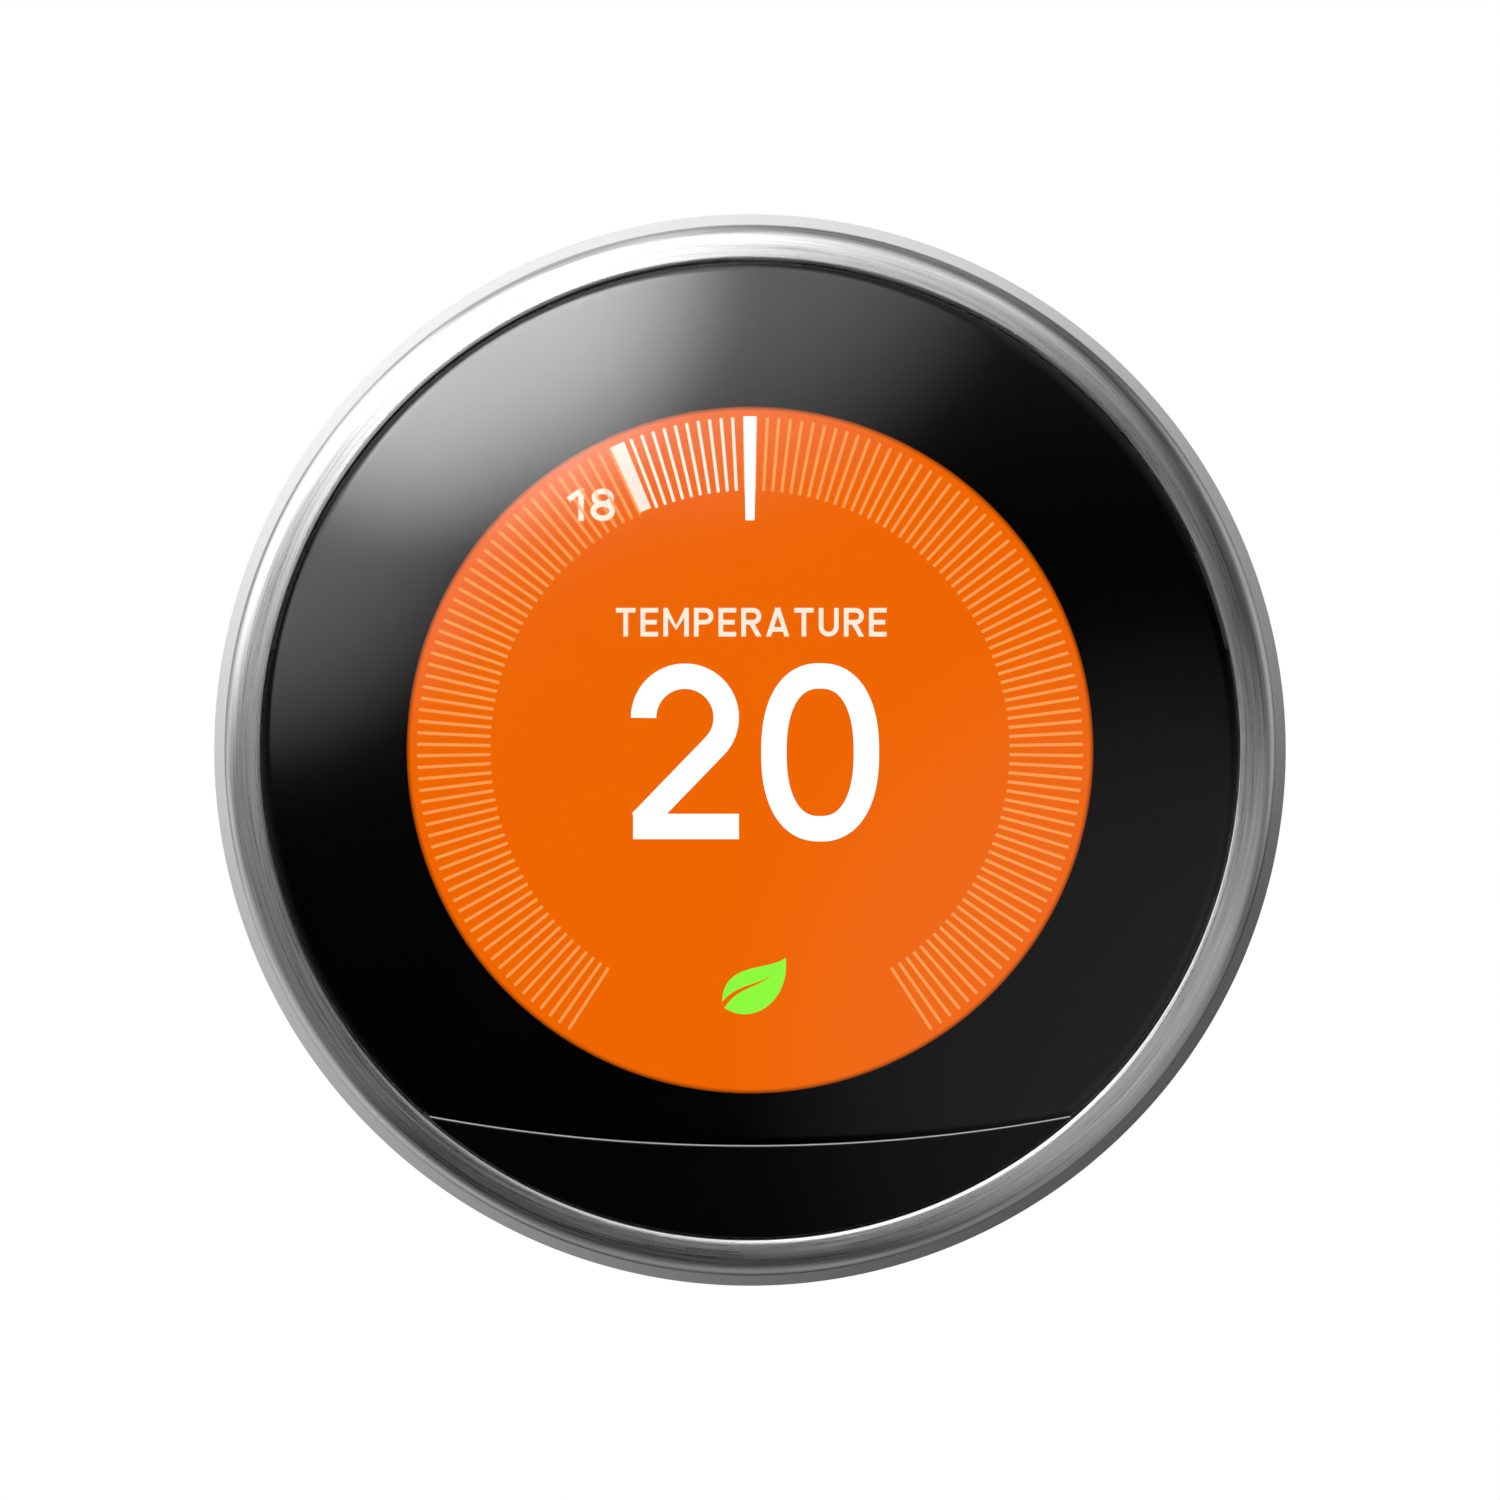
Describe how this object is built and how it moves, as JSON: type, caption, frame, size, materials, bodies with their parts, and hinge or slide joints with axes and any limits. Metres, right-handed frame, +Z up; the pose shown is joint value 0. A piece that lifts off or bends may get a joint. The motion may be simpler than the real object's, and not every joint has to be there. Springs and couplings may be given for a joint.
{
  "type": "wall thermostat",
  "caption": "Round wall thermostat: turning steel ring round a lens and round display, on a head that presses and pulls off a wall base with push-in terminals.",
  "frame": {"origin": "centre of the wall base's back face, on the axis of the ring", "axes": "+Z up, +Y into the wall, -Y out of the wall through the front of the lens"},
  "size_m": [0.084, 0.0308, 0.084],
  "materials": {
    "white_plastic": "fine satin texture",
    "carrier_plastic": "satin acetal",
    "terminal_plastic": "satin",
    "dark_plastic": "satin",
    "cover_plastic": "fine satin texture",
    "plunger_plastic": "satin",
    "ring_steel": "brushed round the ring",
    "spring_steel": "drawn wire and rolled strip",
    "screw_steel": "zinc plated",
    "tin_plate": "bright tin plate",
    "contact_metal": "gold flash",
    "clamp_metal": "rolled spring bronze",
    "board": "solder mask",
    "flex": "polyimide film",
    "package": "moulded epoxy",
    "ceramic": "fired ceramic and cap",
    "clear_lens": "clear moulded lens, hard coated",
    "window_black": "dark infrared-clear window",
    "mask_ink": "printed black",
    "adhesive": "foam tape",
    "picture": "lit display panel",
    "guide": "clear acrylic light guide",
    "pouch": "laminated foil",
    "lead": "insulated wire",
    "sensor_can": "nickel-plated can",
    "motion_window": "milky polyethylene",
    "vial": "clear acrylic",
    "fluid": "tinted spirit"
  },
  "bodies": {
    "base": {"base_plate": "white_plastic", "terminal_deck": "white_plastic", "base_board": "board", "base_socket": "dark_plastic", "socket_pins": "contact_metal", "terminal_block_left": "terminal_plastic", "terminal_block_right": "terminal_plastic", "terminal_clamps": "clamp_metal", "level_vial": "vial", "level_cap": "vial", "level_fluid": "fluid", "humidity_sensor": "ceramic", "base_relays": "package", "deck_screws": "screw_steel"},
    "back_module": {"back_cover": "cover_plastic", "plug_board": "board", "base_plug": "dark_plastic", "plug_contacts": "contact_metal", "grip_springs": "spring_steel", "shoulder_screws": "screw_steel", "plug_flex": "flex", "return_springs": "spring_steel"},
    "head": {"head_frame": "dark_plastic", "front_lens": "clear_lens", "lens_mask": "mask_ink", "lens_adhesive": "adhesive", "sensor_window": "window_black", "display_panel": "picture", "light_guide": "guide", "backlight_tray": "tin_plate", "display_flex": "flex", "main_board": "board", "shield_can": "tin_plate", "board_chips": "package", "antenna": "ceramic", "battery": "pouch", "battery_lead": "lead", "motion_sensor": "sensor_can", "motion_lens": "motion_window", "light_sensor": "package", "proximity_sensor": "package", "buzzer": "dark_plastic", "click_switch": "dark_plastic", "ring_sensor": "dark_plastic", "ring_bearing_pads": "carrier_plastic", "usb_port": "tin_plate", "board_screws": "screw_steel"},
    "ring": {"outer_ring": "ring_steel", "ring_carrier": "carrier_plastic"},
    "switch_plunger": {"click_plunger": "plunger_plastic"},
    "release_tab_01": {"release_tab_01": "white_plastic"},
    "release_tab_02": {"release_tab_02": "white_plastic"},
    "release_tab_03": {"release_tab_03": "white_plastic"},
    "release_tab_04": {"release_tab_04": "white_plastic"},
    "release_tab_05": {"release_tab_05": "white_plastic"},
    "release_tab_06": {"release_tab_06": "white_plastic"},
    "release_tab_07": {"release_tab_07": "white_plastic"},
    "release_tab_08": {"release_tab_08": "white_plastic"},
    "release_tab_09": {"release_tab_09": "white_plastic"},
    "release_tab_10": {"release_tab_10": "white_plastic"}
  },
  "joints": [
    {"name": "head_pull_off", "type": "slide", "parent": "base", "child": "back_module", "axis": [0, -1, 0], "range_m": [0, 0.03]},
    {"name": "head_press", "type": "slide", "parent": "back_module", "child": "head", "axis": [0, 1, 0], "range_m": [0, 0.0006], "stiffness_N_per_m": 3000, "springref_m": -0.0003, "deforming": ["return_springs", "plug_flex"]},
    {"name": "ring_turn", "type": "hinge", "parent": "head", "child": "ring", "pos_m": [0, -0.022, 0], "axis": [0, 1, 0], "continuous": true},
    {"name": "plunger_travel", "type": "slide", "parent": "head", "child": "switch_plunger", "axis": [0, -1, 0], "range_m": [0, 0.0006]},
    {"name": "tab_01_press", "type": "slide", "parent": "base", "child": "release_tab_01", "axis": [0, 1, 0], "range_m": [0, 0.0012], "stiffness_N_per_m": 800, "springref_m": -0.0004},
    {"name": "tab_02_press", "type": "slide", "parent": "base", "child": "release_tab_02", "axis": [0, 1, 0], "range_m": [0, 0.0012], "stiffness_N_per_m": 800, "springref_m": -0.0004},
    {"name": "tab_03_press", "type": "slide", "parent": "base", "child": "release_tab_03", "axis": [0, 1, 0], "range_m": [0, 0.0012], "stiffness_N_per_m": 800, "springref_m": -0.0004},
    {"name": "tab_04_press", "type": "slide", "parent": "base", "child": "release_tab_04", "axis": [0, 1, 0], "range_m": [0, 0.0012], "stiffness_N_per_m": 800, "springref_m": -0.0004},
    {"name": "tab_05_press", "type": "slide", "parent": "base", "child": "release_tab_05", "axis": [0, 1, 0], "range_m": [0, 0.0012], "stiffness_N_per_m": 800, "springref_m": -0.0004},
    {"name": "tab_06_press", "type": "slide", "parent": "base", "child": "release_tab_06", "axis": [0, 1, 0], "range_m": [0, 0.0012], "stiffness_N_per_m": 800, "springref_m": -0.0004},
    {"name": "tab_07_press", "type": "slide", "parent": "base", "child": "release_tab_07", "axis": [0, 1, 0], "range_m": [0, 0.0012], "stiffness_N_per_m": 800, "springref_m": -0.0004},
    {"name": "tab_08_press", "type": "slide", "parent": "base", "child": "release_tab_08", "axis": [0, 1, 0], "range_m": [0, 0.0012], "stiffness_N_per_m": 800, "springref_m": -0.0004},
    {"name": "tab_09_press", "type": "slide", "parent": "base", "child": "release_tab_09", "axis": [0, 1, 0], "range_m": [0, 0.0012], "stiffness_N_per_m": 800, "springref_m": -0.0004},
    {"name": "tab_10_press", "type": "slide", "parent": "base", "child": "release_tab_10", "axis": [0, 1, 0], "range_m": [0, 0.0012], "stiffness_N_per_m": 800, "springref_m": -0.0004}
  ],
  "couplings": [
    {"joint": "plunger_travel", "follows": "head_press", "ratio": 1}
  ]
}
